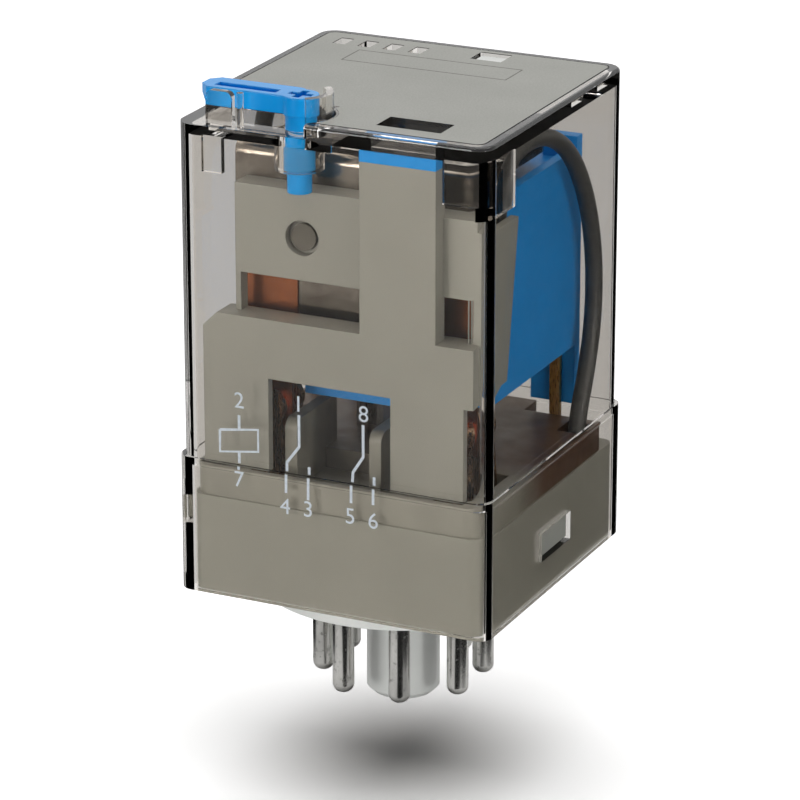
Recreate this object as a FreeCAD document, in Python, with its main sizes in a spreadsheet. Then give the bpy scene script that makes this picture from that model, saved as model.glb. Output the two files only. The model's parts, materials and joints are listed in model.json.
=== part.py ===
"""Eight-pin plug-in relay with a clear cover, a test button and two changeover contacts.

Millimetres. The origin is the centre of the seating face, the underside of the octal disc.
+Z points up through the cover, +X runs to the right along the front face, and the front is at -Y.
"""
import FreeCAD, Part
import math
import os
import re
import Sketcher
from FreeCAD import Placement, Rotation, Vector

# Driving sizes: alias and value. A name ending in _x, _y, _z, _low or _high is a place.
SIZES = dict(
    # Clear cover: a square skirt at the bottom and a slightly narrower upper case.
    skirt_side=36.0, skirt_corner=1.5, skirt_low=2.0, skirt_high=17.1, skirt_wall=1.25,
    cover_step=0.25, cover_corner=2.0, cover_wall=1.2, cover_high=55.0, cover_roof=2.0,
    cover_edge=0.4, cover_inner_corner=0.8, skirt_inner_corner=0.8,
    # Button recess at the front left of the top, its tray, collar, sleeve and break-off pip.
    recess_depth=1.5, recess_radius=3.6, recess_reach=2.2, tray_wall=1.3,
    collar_inner=2.6, collar_outer=3.4, collar_rise=3.9, collar_sweep=110.0,
    sleeve_wall=0.9, sleeve_drop=2.9,
    pip_x=-12.9, pip_width=3.0, pip_thick=0.8, pip_rise=3.7, pip_gap=0.95, pip_round=0.7,
    pip_post_radius=0.35, pip_post_step=0.8,
    # Top panel features: four vents, a marker window and the flag slot.
    vent_count=4, vent_first_x=-13.6, vent_pitch=3.0, vent_width=1.5, vent_depth=2.4, vent_y=13.5,
    marker_x=3.6, marker_y=14.3, marker_width=3.6, marker_depth=3.0, marker_sink=0.6,
    slot_x=7.4, slot_y=-12.8, slot_width=7.2, slot_depth=3.4,
    # Guide ribs that hang from the roof inside the front corners.
    rib_drop=4.6, rib_thick=0.7, rib_left_x=-13.8, rib_left_width=2.3, rib_right_width=4.2,
    rib_side_drop=6.0, rib_side_reach=6.4,
    # Snap windows in both sides of the skirt.
    window_width=7.6, window_low=5.9, window_high=9.1,
    # Octal base: seating disc, spigot with its key, and eight pins.
    disc_radius=16.1, disc_thick=2.0, disc_round=0.4,
    spigot_radius=4.0, spigot_length=13.2, spigot_chamfer=0.6, spigot_bore=2.5, spigot_bore_depth=9.0,
    key_width=2.4, key_reach=4.95,
    pin_circle=17.45, pin_diameter=2.36, pin_length=11.2, pin_round=1.0, pin_top=6.0, pin_step=0.08,
    # Base block, the square tub that the cover snaps over.
    base_floor=3.0, base_wall=1.5, base_high=12.8, base_gap=0.1, base_corner=1.2, base_inner_corner=0.6,
    lug_width=6.8, lug_low=6.3, lug_high=8.8, lug_gap=0.35,
    # Contact frame, the moulded deck over the tub.
    deck_high=16.1, deck_gap=0.1, deck_corner=1.7, deck_step_x=7.6, deck_step_y=13.1, well_floor=13.8,
    well_front_wall=0.75,
    well_left=-16.05, well_right=14.4, well_rear=-6.2,
    barrier_thick=1.4, barrier_high=21.3, barrier_front=-13.0, barrier_rear=-3.5, barrier_round=1.2,
    barrier_left_x=-6.7, barrier_right_x=3.1,
    hole_inner=13.4, hole_outer=16.1, hole_front=8.5, hole_rear=11.8, slot_gap=0.1,
    # Changeover contacts: places across the relay, heights, and the stack from front to back.
    left_contact_x=-10.0, right_contact_x=11.3, contact_z=21.8, contact_radius=1.9,
    fixed_blade_width=3.8, fixed_blade_high=23.8, fixed_blade_thick=0.4, fixed_blade_neck=1.0,
    closed_blade_y=-12.05, closed_button=0.6, closed_gap=0.03,
    moving_front_button=0.52, moving_rear_button=0.6, moving_blade_thick=0.4,
    moving_blade_width=4.4, moving_blade_low=19.4, moving_blade_high=42.5,
    wide_blade_left=-13.2, wide_blade_right=-7.05, wide_blade_low=30.0,
    contact_gap=1.8, open_button=0.6, contact_crown=0.25,
    foot_thick=0.5, foot_width=2.4,
    # Coil terminals and the tags that the two leads are soldered to.
    post_x=11.1, post_y=13.5, post_width=1.2, post_thick=0.6, post_rise=1.4, wire_diameter=0.4,
    wire_rise=0.8, wire_angle=12.0, wire_gap=0.1,
    tag_x=13.8, tag_thick=0.4, tag_front=9.0, tag_depth=2.0, tag_rear=15.05, tag_high=14.6, tag_run=1.2,
    # Magnet: yoke, core, bobbin and winding.
    core_y=2.6, core_radius=3.6, core_top=46.45, core_tail=1.45, core_head=2.2, core_head_thick=0.8,
    pole_radius=4.3, pole_thick=1.3,
    yoke_width=14.0, yoke_front=-1.2, yoke_thick=2.0, yoke_low=22.0, yoke_leg_gap=0.3, yoke_gap=0.2,
    yoke_lug_width=2.4, yoke_lug_x=5.2, yoke_lug_y=3.0, yoke_lug_depth=1.6,
    bobbin_half=13.0, bobbin_front=-5.0, bobbin_toe=-8.0, bobbin_toe_half=7.5, bobbin_toe_low=22.6,
    bobbin_rear=15.5, bobbin_wall=1.1, bobbin_back_wall=1.4, bobbin_flange=1.6, bobbin_high=45.0,
    bobbin_side_high=46.2, bobbin_tube=0.7, bobbin_lug_high=47.5, bobbin_lug_width=4.0,
    bobbin_leg_width=5.1, bobbin_leg_low=17.3, winding_radius=6.0, winding_gap=0.05,
    spring_width=5.0, spring_thick=0.25, spring_low=35.0, spring_high_gap=0.35, spring_reach=2.0,
    screw_radius=1.1, screw_head=0.9, screw_z=39.0, screw_clear=0.4,
    # Armature, hinged on the top edge of the yoke's leg.
    armature_low=47.2, armature_thick=2.0, armature_half=11.6, armature_slope=-2.5, armature_rise=1.2,
    armature_rear_round=3.0, apron_rear=-9.0, apron_thick=1.5, apron_half=14.2, apron_low=43.5,
    apron_bend=1.4, strip_left=-6.85, strip_right=1.5, strip_low=31.0,
    # Contact carrier, the grey moulding on the armature.
    carrier_left=-15.8, carrier_right=15.0, carrier_front=-15.2, plate_front=-13.4, plate_gap=0.05,
    leg_thick=0.95, leg_low=16.0, left_leg_right=-8.2, right_leg_left=5.9, right_leg_right=14.2,
    bar_low=26.3, bar_high=32.8, bar_rear=-11.9, bar_chamfer=1.6,
    arm_left=2.4, arm_right=11.0, arm_rear=-13.0, arm_high=51.3,
    left_plate_left=-12.8, left_plate_low=37.0, left_plate_high=46.7,
    right_plate_left=9.4, right_plate_right=14.6, right_plate_low=37.5, right_plate_high=46.0,
    plate_post=1.5, left_post=0.6, cheek_thick=0.8, cheek_rear=-6.6, cheek_low=27.7,
    cheek_high=44.8, cheek_toe=-10.6, cheek_heel=-9.2,
    recess_hole_radius=1.9, recess_hole_depth=0.9, rivet_x=-5.05, rivet_z=41.6, rivet_radius=1.0,
    rivet_head=1.45, rivet_head_thick=0.55, fit_gap=0.04, blade_rivet_radius=0.6,
    blade_rivet_head=1.0, blade_rivet_z=39.0, blade_rivet_head_thick=0.35,
    flag_thick=1.2, lead_tag_x=13.0, lead_tag_width=1.8, lead_tag_z=41.2, lead_tag_rear=-6.0,
    # Test button: shaft, tip and the lever arm over the recess.
    button_x=-5.0, button_y=-13.9, shaft_radius=1.65, shaft_gap=0.05, tip_radius=1.3, tip_gap=0.1,
    tip_length=2.6, button_arm_gap=0.15, button_arm_thick=1.9, button_arm_left=-16.2,
    button_arm_front=1.35, button_arm_rear=2.3, button_arm_round=1.2, button_boss_radius=1.9,
    button_boss_drop=0.1,
    button_slot_left=-14.6, button_slot_right=-7.6, button_slot_width=1.2, button_slot_depth=1.2,
    cross_length=2.6, cross_width=0.8, button_arm_chamfer=1.0,
    # Insulated leads from the moving blades to the tags.
    lead_diameter=1.9, lead_bend=0.45,
)

doc = FreeCAD.newDocument("PlugInRelay")
sheet = doc.addObject("Spreadsheet::Sheet", "Sizes")
for row, (alias, number) in enumerate(SIZES.items(), start=1):
    sheet.set("A%d" % row, alias)
    sheet.set("B%d" % row, str(number))
    sheet.setAlias("B%d" % row, alias)
doc.recompute()

NODES = []


def bound(text):
    """Write a size formula with each alias as a cell of the sheet."""
    return re.sub(r"[a-z]\w*", lambda m: "Sizes." + m.group() if m.group() in SIZES else m.group(), str(text))


def value(text):
    return float(sheet.evalExpression(bound(text)))


def bind(thing, prop, text):
    thing.setExpression(prop, bound(text))


def finish(thing, label):
    """Name the finished sub-part and keep it for the export."""
    thing.Label = label
    NODES.append(thing)
    return thing


# --- Part primitives -------------------------------------------------------------------------

def box(x, y, z):
    """A block between two formulas along each axis."""
    block = doc.addObject("Part::Box", "Block")
    for axis, side, (low, high) in zip("xyz", ("Length", "Width", "Height"), (x, y, z)):
        bind(block, "Placement.Base." + axis, low)
        bind(block, side, "(%s) - (%s)" % (high, low))
    return block


TURNS = {"x": Rotation(Vector(0, 1, 0), 90), "y": Rotation(Vector(1, 0, 0), -90), "z": Rotation()}


def rod(axis, radius, at, span):
    """A cylinder along one axis; at gives the other two coordinates in x, y, z order."""
    low, high = span
    solid = doc.addObject("Part::Cylinder", "Rod")
    solid.Placement = Placement(Vector(), TURNS[axis])
    bind(solid, "Radius", radius)
    bind(solid, "Height", "(%s) - (%s)" % (high, low))
    places = dict(zip([name for name in "xyz" if name != axis], at))
    places[axis] = low
    for name, text in places.items():
        bind(solid, "Placement.Base." + name, text)
    return solid


def fuse(*shapes):
    joined = doc.addObject("Part::MultiFuse", "Joined")
    joined.Shapes = list(shapes)
    joined.Refine = True
    return joined


def cut(base, *tools):
    result = doc.addObject("Part::Cut", "Cut")
    result.Base = base
    result.Tool = tools[0] if len(tools) == 1 else fuse(*tools)
    return result


# --- PartDesign bodies -----------------------------------------------------------------------

def new_body(label):
    return finish(doc.addObject("PartDesign::Body", "Body"), label)


ROLES = {"x": "YZ_Plane", "y": "XZ_Plane", "z": "XY_Plane"}


def sketch_at(body, axis, place):
    """A sketch square to an axis, at a place along it; the XZ plane's normal points to -Y."""
    drawing = body.newObject("Sketcher::SketchObject", "Sketch")
    plane = [item for item in body.Origin.OriginFeatures if item.Role == ROLES[axis]][0]
    drawing.AttachmentSupport = [(plane, "")]
    drawing.MapMode = "FlatFace"
    sign = "-" if axis == "y" else ""
    bind(drawing, "AttachmentOffset.Base.z", "%s(%s)" % (sign, place))
    return drawing


def hold(drawing, kind, geometry, point, text):
    """Hold a point's distance from the sketch origin with a formula."""
    number = drawing.addConstraint(Sketcher.Constraint(kind, -1, 1, geometry, point, value(text)))
    bind(drawing, "Constraints[%d]" % number, text)


def outline(drawing, corners):
    """A closed polygon whose corners are pairs of formulas."""
    points = [Vector(value(u), value(v), 0) for u, v in corners]
    count = len(points)
    first = drawing.GeometryCount
    for i in range(count):
        drawing.addGeometry(Part.LineSegment(points[i], points[(i + 1) % count]))
    for i in range(count):
        drawing.addConstraint(Sketcher.Constraint("Coincident", first + i, 2, first + (i + 1) % count, 1))
    for i, (u, v) in enumerate(corners):
        hold(drawing, "DistanceX", first + i, 1, u)
        hold(drawing, "DistanceY", first + i, 1, v)


def rectangle(drawing, u, v):
    outline(drawing, [(u[0], v[0]), (u[1], v[0]), (u[1], v[1]), (u[0], v[1])])


def rounded_square(drawing, half, corner):
    """A square centred on the origin, with lines for its sides and arcs for its corners."""
    h, r = value(half), value(corner)
    flat = "%s - %s" % (half, corner)
    minus_half, minus_flat = "-(%s)" % half, "-(%s)" % flat
    sides = [((minus_flat, minus_half), (flat, minus_half)), ((half, minus_flat), (half, flat)),
             ((flat, half), (minus_flat, half)), ((minus_half, flat), (minus_half, minus_flat))]
    first = drawing.GeometryCount
    for ends in sides:
        drawing.addGeometry(Part.LineSegment(*[Vector(value(u), value(v), 0) for u, v in ends]))
    for i in range(4):
        start = (i - 1) * math.pi / 2
        u, v = (h - r) * (1, 1, -1, -1)[i], (h - r) * (-1, 1, 1, -1)[i]
        whole = Part.Circle(Vector(u, v, 0), Vector(0, 0, 1), r)
        drawing.addGeometry(Part.ArcOfCircle(whole, start, start + math.pi / 2))
    for i, ends in enumerate(sides):
        for point, (u, v) in enumerate(ends, start=1):
            hold(drawing, "DistanceX", first + i, point, u)
            hold(drawing, "DistanceY", first + i, point, v)
        arc = first + 4 + i
        drawing.addConstraint(Sketcher.Constraint("Coincident", first + i, 2, arc, 1))
        drawing.addConstraint(Sketcher.Constraint("Coincident", arc, 2, first + (i + 1) % 4, 1))
        number = drawing.addConstraint(Sketcher.Constraint("Radius", arc, r))
        bind(drawing, "Constraints[%d]" % number, corner)


def circle(drawing, u, v, radius):
    ring = drawing.addGeometry(Part.Circle(Vector(value(u), value(v), 0), Vector(0, 0, 1), value(radius)))
    number = drawing.addConstraint(Sketcher.Constraint("Radius", ring, value(radius)))
    bind(drawing, "Constraints[%d]" % number, radius)
    hold(drawing, "DistanceX", ring, 3, u)
    hold(drawing, "DistanceY", ring, 3, v)


def extrude(body, kind, drawing, length):
    feature = body.newObject("PartDesign::" + kind, kind)
    feature.Profile = drawing
    bind(feature, "Length", length)
    doc.recompute()
    return feature


def pad(body, axis, span, draw):
    """Add material between two places along an axis; draw puts the profile in the sketch."""
    low, high = span
    drawing = sketch_at(body, axis, high if axis == "y" else low)
    draw(drawing)
    return extrude(body, "Pad", drawing, "(%s) - (%s)" % (high, low))


def pocket(body, axis, span, draw):
    """Remove material between two places along an axis."""
    low, high = span
    drawing = sketch_at(body, axis, low if axis == "y" else high)
    draw(drawing)
    return extrude(body, "Pocket", drawing, "(%s) - (%s)" % (high, low))


def dress(body, kind, size, chosen):
    """Fillet or chamfer the tip's edges that the function chosen accepts."""
    edges = ["Edge%d" % n for n, edge in enumerate(body.Tip.Shape.Edges, start=1) if chosen(edge)]
    feature = body.newObject("PartDesign::" + kind, kind)
    feature.Base = (body.Tip if body.Tip != feature else feature.BaseFeature, edges)
    bind(feature, "Radius" if kind == "Fillet" else "Size", size)
    doc.recompute()
    return feature


def near(a, b):
    return abs(a - b) < 0.01


def upright(edge):
    box_of = edge.BoundBox
    return box_of.XLength < 0.01 and box_of.YLength < 0.01


def flat_at(edge, height):
    return near(edge.BoundBox.ZMin, height) and near(edge.BoundBox.ZMax, height)


def pin_place(number):
    """Formulas for a pin's centre: pins 1 to 8 run round from the key at the rear."""
    angle = "%g deg" % (90 + 45 * number - 22.5)
    return "pin_circle / 2 * cos(%s)" % angle, "pin_circle / 2 * sin(%s)" % angle


# Places that several sub-parts share.
SKIRT_INNER = "(skirt_side / 2 - skirt_wall)"
COVER_HALF = "(skirt_side / 2 - cover_step)"
COVER_INNER = "(skirt_side / 2 - cover_step - cover_wall)"
ROOF_LOW = "(cover_high - cover_roof)"
TRAY_HIGH = "(cover_high - recess_depth)"
TRAY_LOW = "(cover_high - recess_depth - tray_wall)"
SHAFT_BORE = "(shaft_radius + shaft_gap)"
SLEEVE_LOW = "(cover_high - recess_depth - tray_wall - sleeve_drop)"
BASE_HALF = "(skirt_side / 2 - skirt_wall - base_gap)"
BASE_TOP = "(skirt_low + base_floor)"
DECK_HALF = "(skirt_side / 2 - cover_step - cover_wall - deck_gap)"
CLOSED_BUTTON_Y = "(closed_blade_y + fixed_blade_thick)"
MOVING_FRONT_Y = "(closed_blade_y + fixed_blade_thick + closed_button + closed_gap)"
MOVING_BLADE_Y = "(closed_blade_y + fixed_blade_thick + closed_button + closed_gap + moving_front_button)"
MOVING_REAR_Y = "(%s + moving_blade_thick + moving_rear_button)" % MOVING_BLADE_Y
OPEN_BUTTON_Y = "(%s + contact_gap)" % MOVING_REAR_Y
OPEN_BLADE_Y = "(%s + contact_gap + open_button)" % MOVING_REAR_Y
PLATE_REAR = "(%s - plate_gap)" % MOVING_BLADE_Y
YOKE_LEG_FRONT = "(core_y + winding_radius + yoke_leg_gap)"
YOKE_LEG_REAR = "(core_y + winding_radius + yoke_leg_gap + yoke_thick)"
YOKE_HIGH = "(armature_low - yoke_gap)"
BOBBIN_LOW = "(yoke_low + yoke_thick)"
ARMATURE_HIGH = "(armature_low + armature_thick)"
APRON_FRONT = "(apron_rear - apron_thick)"
APRON_HIGH = "(armature_low + armature_thick + armature_rise)"
TIP_LOW = "(left_plate_high + tip_gap)"
ARM_LOW = "(cover_high + button_arm_gap)"
ARM_HIGH = "(cover_high + button_arm_gap + button_arm_thick)"
SIDES = {"left": -1, "right": 1}


def mirrored(sign, near_place, far_place):
    """The span between two distances from the middle, on the side that sign gives."""
    return ("-(%s)" % far_place, "-(%s)" % near_place) if sign < 0 else (near_place, far_place)


# --- Cover -----------------------------------------------------------------------------------

def make_cover():
    body = new_body("cover")
    pad(body, "z", ("skirt_low", "cover_high"), lambda s: rounded_square(s, COVER_HALF, "cover_corner"))
    dress(body, "Fillet", "cover_edge", lambda e: flat_at(e, value("cover_high")))
    pad(body, "z", ("skirt_low", "skirt_high"), lambda s: rounded_square(s, "skirt_side / 2", "skirt_corner"))
    pocket(body, "z", ("skirt_low", ROOF_LOW), lambda s: rounded_square(s, COVER_INNER, "cover_inner_corner"))
    pocket(body, "z", ("skirt_low", "skirt_high - cover_wall"),
           lambda s: rounded_square(s, SKIRT_INNER, "skirt_inner_corner"))

    # Guide ribs inside the front corners.
    wall_front = ("-" + COVER_INNER + " - cover_wall / 2", "-" + COVER_INNER + " + rib_thick")
    left_rib = ("rib_left_x - rib_left_width / 2", "rib_left_x + rib_left_width / 2")
    right_rib = (COVER_INNER + " - rib_right_width", COVER_INNER + " + cover_wall / 2")
    side_rib = (COVER_INNER + " - rib_thick", COVER_INNER + " + cover_wall / 2")
    side_reach = ("-" + COVER_INNER + " - cover_wall / 2", "-" + COVER_INNER + " + rib_side_reach")
    roof_middle = ROOF_LOW + " + cover_roof / 2"
    pad(body, "z", (ROOF_LOW + " - rib_drop", roof_middle), lambda s: rectangle(s, left_rib, wall_front))
    pad(body, "z", (ROOF_LOW + " - rib_drop", roof_middle), lambda s: rectangle(s, right_rib, wall_front))
    pad(body, "z", (ROOF_LOW + " - rib_side_drop", roof_middle), lambda s: rectangle(s, side_rib, side_reach))

    # Tray under the button recess, then the recess itself, open to the front and the left.
    edge = "-%s + cover_wall / 2" % COVER_HALF
    tray_x = (edge, "button_x + recess_radius + tray_wall")
    tray_y = (edge, "button_y + recess_radius + tray_wall")
    pad(body, "z", (TRAY_LOW, roof_middle), lambda s: rectangle(s, tray_x, tray_y))
    outside = "-skirt_side"
    recess_x = (outside, "button_x + recess_reach")
    recess_y = (outside, "button_y + recess_radius")
    over = "cover_high + recess_depth"
    pocket(body, "z", (TRAY_HIGH, over), lambda s: rectangle(s, recess_x, recess_y))
    pocket(body, "z", (TRAY_HIGH, over), lambda s: circle(s, "button_x", "button_y", "recess_radius"))

    # Sleeve that guides the button's shaft.
    pad(body, "z", (SLEEVE_LOW, TRAY_LOW + " + tray_wall / 2"),
        lambda s: circle(s, "button_x", "button_y", SHAFT_BORE + " + sleeve_wall"))
    pocket(body, "z", (SLEEVE_LOW + " - 1", over), lambda s: circle(s, "button_x", "button_y", SHAFT_BORE))

    # Curved collar on the right of the shaft.
    drawing = sketch_at(body, "y", "button_y")
    rectangle(drawing, ("button_x + collar_inner", "button_x + collar_outer"),
              (TRAY_HIGH + " - tray_wall / 2", TRAY_HIGH + " + collar_rise"))
    x, low, high = value("button_x"), value(TRAY_HIGH), value("cover_high")
    axis = drawing.addGeometry(Part.LineSegment(Vector(x, low, 0), Vector(x, high, 0)), True)
    for point, height in ((1, TRAY_HIGH), (2, "cover_high")):
        hold(drawing, "DistanceX", axis, point, "button_x")
        hold(drawing, "DistanceY", axis, point, height)
    collar = body.newObject("PartDesign::Revolution", "Collar")
    collar.Profile = drawing
    collar.ReferenceAxis = (drawing, ["Axis0"])
    collar.Midplane = True
    bind(collar, "Angle", "collar_sweep")
    doc.recompute()

    # Break-off pip in front of the lever arm: a thin plate with a post beside it.
    plate_y = "button_y - button_arm_front - pip_gap"
    pad(body, "z", (TRAY_HIGH + " - tray_wall / 2", TRAY_HIGH + " + pip_rise"),
        lambda s: rectangle(s, ("pip_x - pip_width / 2", "pip_x + pip_width / 2"),
                            (plate_y + " - pip_thick", plate_y)))
    pip_top = value(TRAY_HIGH + " + pip_rise")
    ends = [value("pip_x - pip_width / 2"), value("pip_x + pip_width / 2")]
    dress(body, "Fillet", "pip_round",
          lambda e: flat_at(e, pip_top) and e.BoundBox.XLength < 0.01 and min(
              abs(e.BoundBox.XMin - end) for end in ends) < 0.01)
    pad(body, "z", (TRAY_HIGH + " - tray_wall / 2", TRAY_HIGH + " + pip_rise"),
        lambda s: circle(s, "pip_x + pip_width / 2 + pip_post_step", plate_y + " - pip_thick / 2",
                         "pip_post_radius"))

    # Vents, marker window and flag slot in the top.
    def vents(drawing):
        for i in range(int(SIZES["vent_count"])):
            middle = "vent_first_x + %d * vent_pitch" % i
            rectangle(drawing, (middle + " - vent_width / 2", middle + " + vent_width / 2"),
                      ("vent_y - vent_depth / 2", "vent_y + vent_depth / 2"))
    pocket(body, "z", (ROOF_LOW + " - 1", "cover_high + 1"), vents)
    pocket(body, "z", ("cover_high - marker_sink", "cover_high + 1"),
           lambda s: rectangle(s, ("marker_x - marker_width / 2", "marker_x + marker_width / 2"),
                               ("marker_y - marker_depth / 2", "marker_y + marker_depth / 2")))
    pocket(body, "z", (ROOF_LOW + " - 1", "cover_high + 1"),
           lambda s: rectangle(s, ("slot_x - slot_width / 2", "slot_x + slot_width / 2"),
                               ("slot_y - slot_depth / 2", "slot_y + slot_depth / 2")))

    # Snap windows through both sides.
    pocket(body, "x", ("-skirt_side", "skirt_side"),
           lambda s: rectangle(s, ("-window_width / 2", "window_width / 2"), ("window_low", "window_high")))


# --- Octal base, pins, base block and contact frame --------------------------------------------

def pin_holes(radius):
    def draw(drawing):
        for number in range(1, 9):
            x, y = pin_place(number)
            circle(drawing, x, y, radius)
    return draw


def make_octal_base():
    body = new_body("octal_base")
    pad(body, "z", (0, "disc_thick"), lambda s: circle(s, 0, 0, "disc_radius"))
    dress(body, "Fillet", "disc_round", lambda e: flat_at(e, 0))
    pad(body, "z", ("-spigot_length", 0), lambda s: circle(s, 0, 0, "spigot_radius"))
    pad(body, "z", ("-spigot_length", 0),
        lambda s: rectangle(s, ("-key_width / 2", "key_width / 2"), (0, "key_reach")))
    dress(body, "Chamfer", "spigot_chamfer", lambda e: flat_at(e, -value("spigot_length")))
    pocket(body, "z", ("-spigot_length", "spigot_bore_depth - spigot_length"),
           lambda s: circle(s, 0, 0, "spigot_bore"))
    pocket(body, "z", (-1, "disc_thick + 1"), pin_holes("pin_diameter / 2 + fit_gap"))


def make_pins():
    """Round pins, each with a slightly thinner shank that goes up through the disc and the base."""
    for number in range(1, 9):
        body = new_body("pin_%d" % number)
        x, y = pin_place(number)
        pad(body, "z", ("-pin_length", 0), lambda s: circle(s, x, y, "pin_diameter / 2"))
        pad(body, "z", (0, "pin_top"), lambda s: circle(s, x, y, "pin_diameter / 2 - pin_step"))
        dress(body, "Fillet", "pin_round", lambda e: flat_at(e, -value("pin_length")))


def make_base_block():
    body = new_body("base_block")
    hollow = "(%s - base_wall)" % BASE_HALF
    pad(body, "z", ("skirt_low", "base_high"), lambda s: rounded_square(s, BASE_HALF, "base_corner"))
    pocket(body, "z", (BASE_TOP, "base_high"), lambda s: rounded_square(s, hollow, "base_inner_corner"))
    pocket(body, "z", ("skirt_low - 1", BASE_TOP + " + 1"),
           pin_holes("pin_diameter / 2 - pin_step + fit_gap"))
    for sign in (-1, 1):
        reach = mirrored(sign, BASE_HALF + " - base_wall / 2", "skirt_side / 2 - lug_gap")
        pad(body, "x", reach,
            lambda s: rectangle(s, ("-lug_width / 2", "lug_width / 2"), ("lug_low", "lug_high")))


def make_contact_frame():
    body = new_body("contact_frame")
    pad(body, "z", ("base_high", "deck_high"), lambda s: rounded_square(s, DECK_HALF, "deck_corner"))
    pocket(body, "z", ("well_floor", "deck_high"),
           lambda s: rectangle(s, ("well_left", "well_right"),
                               ("-%s + well_front_wall" % DECK_HALF, "well_rear")))
    for middle in ("barrier_left_x", "barrier_right_x"):
        pad(body, "z", ("base_high + 0.5", "barrier_high"),
            lambda s: rectangle(s, (middle + " - barrier_thick / 2", middle + " + barrier_thick / 2"),
                                ("barrier_front", "barrier_rear")))
    tops = value("barrier_high")
    dress(body, "Fillet", "barrier_round",
          lambda e: flat_at(e, tops) and near(e.BoundBox.YMin, value("barrier_front"))
                    and e.BoundBox.YLength < 0.01)

    def slots(drawing):
        for contact in ("left_contact_x", "right_contact_x"):
            for blade_y in ("closed_blade_y", OPEN_BLADE_Y):
                rectangle(drawing, (contact + " - fixed_blade_width / 2 - slot_gap",
                                    contact + " + fixed_blade_width / 2 + slot_gap"),
                          (blade_y + " - slot_gap", blade_y + " + fixed_blade_thick + slot_gap"))
        for sign in (-1, 1):
            rectangle(drawing, mirrored(sign, "post_x - post_width / 2 - slot_gap",
                                        "post_x + post_width / 2 + slot_gap"),
                      ("post_y - post_thick / 2 - slot_gap", "post_y + post_thick / 2 + slot_gap"))
            rectangle(drawing, mirrored(sign, "hole_inner", "hole_outer"), ("hole_front", "hole_rear"))
    pocket(body, "z", ("base_high - 1", "deck_high + 1"), slots)
    for sign in (-1, 1):
        pocket(body, "z", ("base_high - 1", "deck_high + 1"),
               lambda s: rectangle(s, mirrored(sign, "deck_step_x", "skirt_side"),
                                   ("deck_step_y", "skirt_side")))


# --- Contacts --------------------------------------------------------------------------------

def fixed_contact(label, contact_x, blade_y, button, pin, reach_y):
    """A stamped blade with a riveted contact button, and a foot that runs to its pin.

    The tip narrows above the deck. button is the span of the contact button along Y.
    """
    body = new_body(label)
    half = "fixed_blade_width / 2"
    pin_x, pin_y = pin_place(pin)
    pad(body, "y", (blade_y, blade_y + " + fixed_blade_thick"), lambda s: outline(s, [
        ("%s - %s" % (contact_x, half), "pin_top"),
        ("%s + %s" % (contact_x, half), "pin_top"),
        ("%s + %s" % (contact_x, half), "deck_high"),
        ("%s + %s - fixed_blade_neck / 2" % (contact_x, half), "fixed_blade_high"),
        ("%s - %s + fixed_blade_neck / 2" % (contact_x, half), "fixed_blade_high"),
        ("%s - %s" % (contact_x, half), "deck_high")]))
    foot = ("pin_top", "pin_top + foot_thick")
    near_x, far_x = sorted((contact_x + " + 0", pin_x), key=value)
    blade_span = ("%s - %s" % (contact_x, half), "%s + %s" % (contact_x, half))
    inner = ("%s - foot_width / 2" % pin_x, "%s + foot_width / 2" % pin_x)
    across = (blade_span[0], inner[1]) if value(contact_x) < value(pin_x) else (inner[0], blade_span[1])
    pad(body, "z", foot, lambda s: rectangle(s, across, (blade_y, reach_y)))
    pad(body, "z", foot, lambda s: rectangle(s, inner, (blade_y, "%s + foot_width / 2" % pin_y)))
    pad(body, "y", button, lambda s: circle(s, contact_x, "contact_z", "contact_radius"))


def make_fixed_contacts():
    pins = {"left": (4, 3), "right": (5, 6)}
    for side, (closed_pin, open_pin) in pins.items():
        contact_x = side + "_contact_x"
        fixed_contact("closed_contact_" + side, contact_x, "closed_blade_y",
                      (CLOSED_BUTTON_Y + " - fixed_blade_thick / 2", CLOSED_BUTTON_Y + " + closed_button"),
                      closed_pin, "closed_blade_y + tag_run")
        fixed_contact("open_contact_" + side, contact_x, OPEN_BLADE_Y,
                      (OPEN_BUTTON_Y, OPEN_BUTTON_Y + " + open_button + fixed_blade_thick / 2"),
                      open_pin, OPEN_BLADE_Y + " + tag_run")


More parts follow.
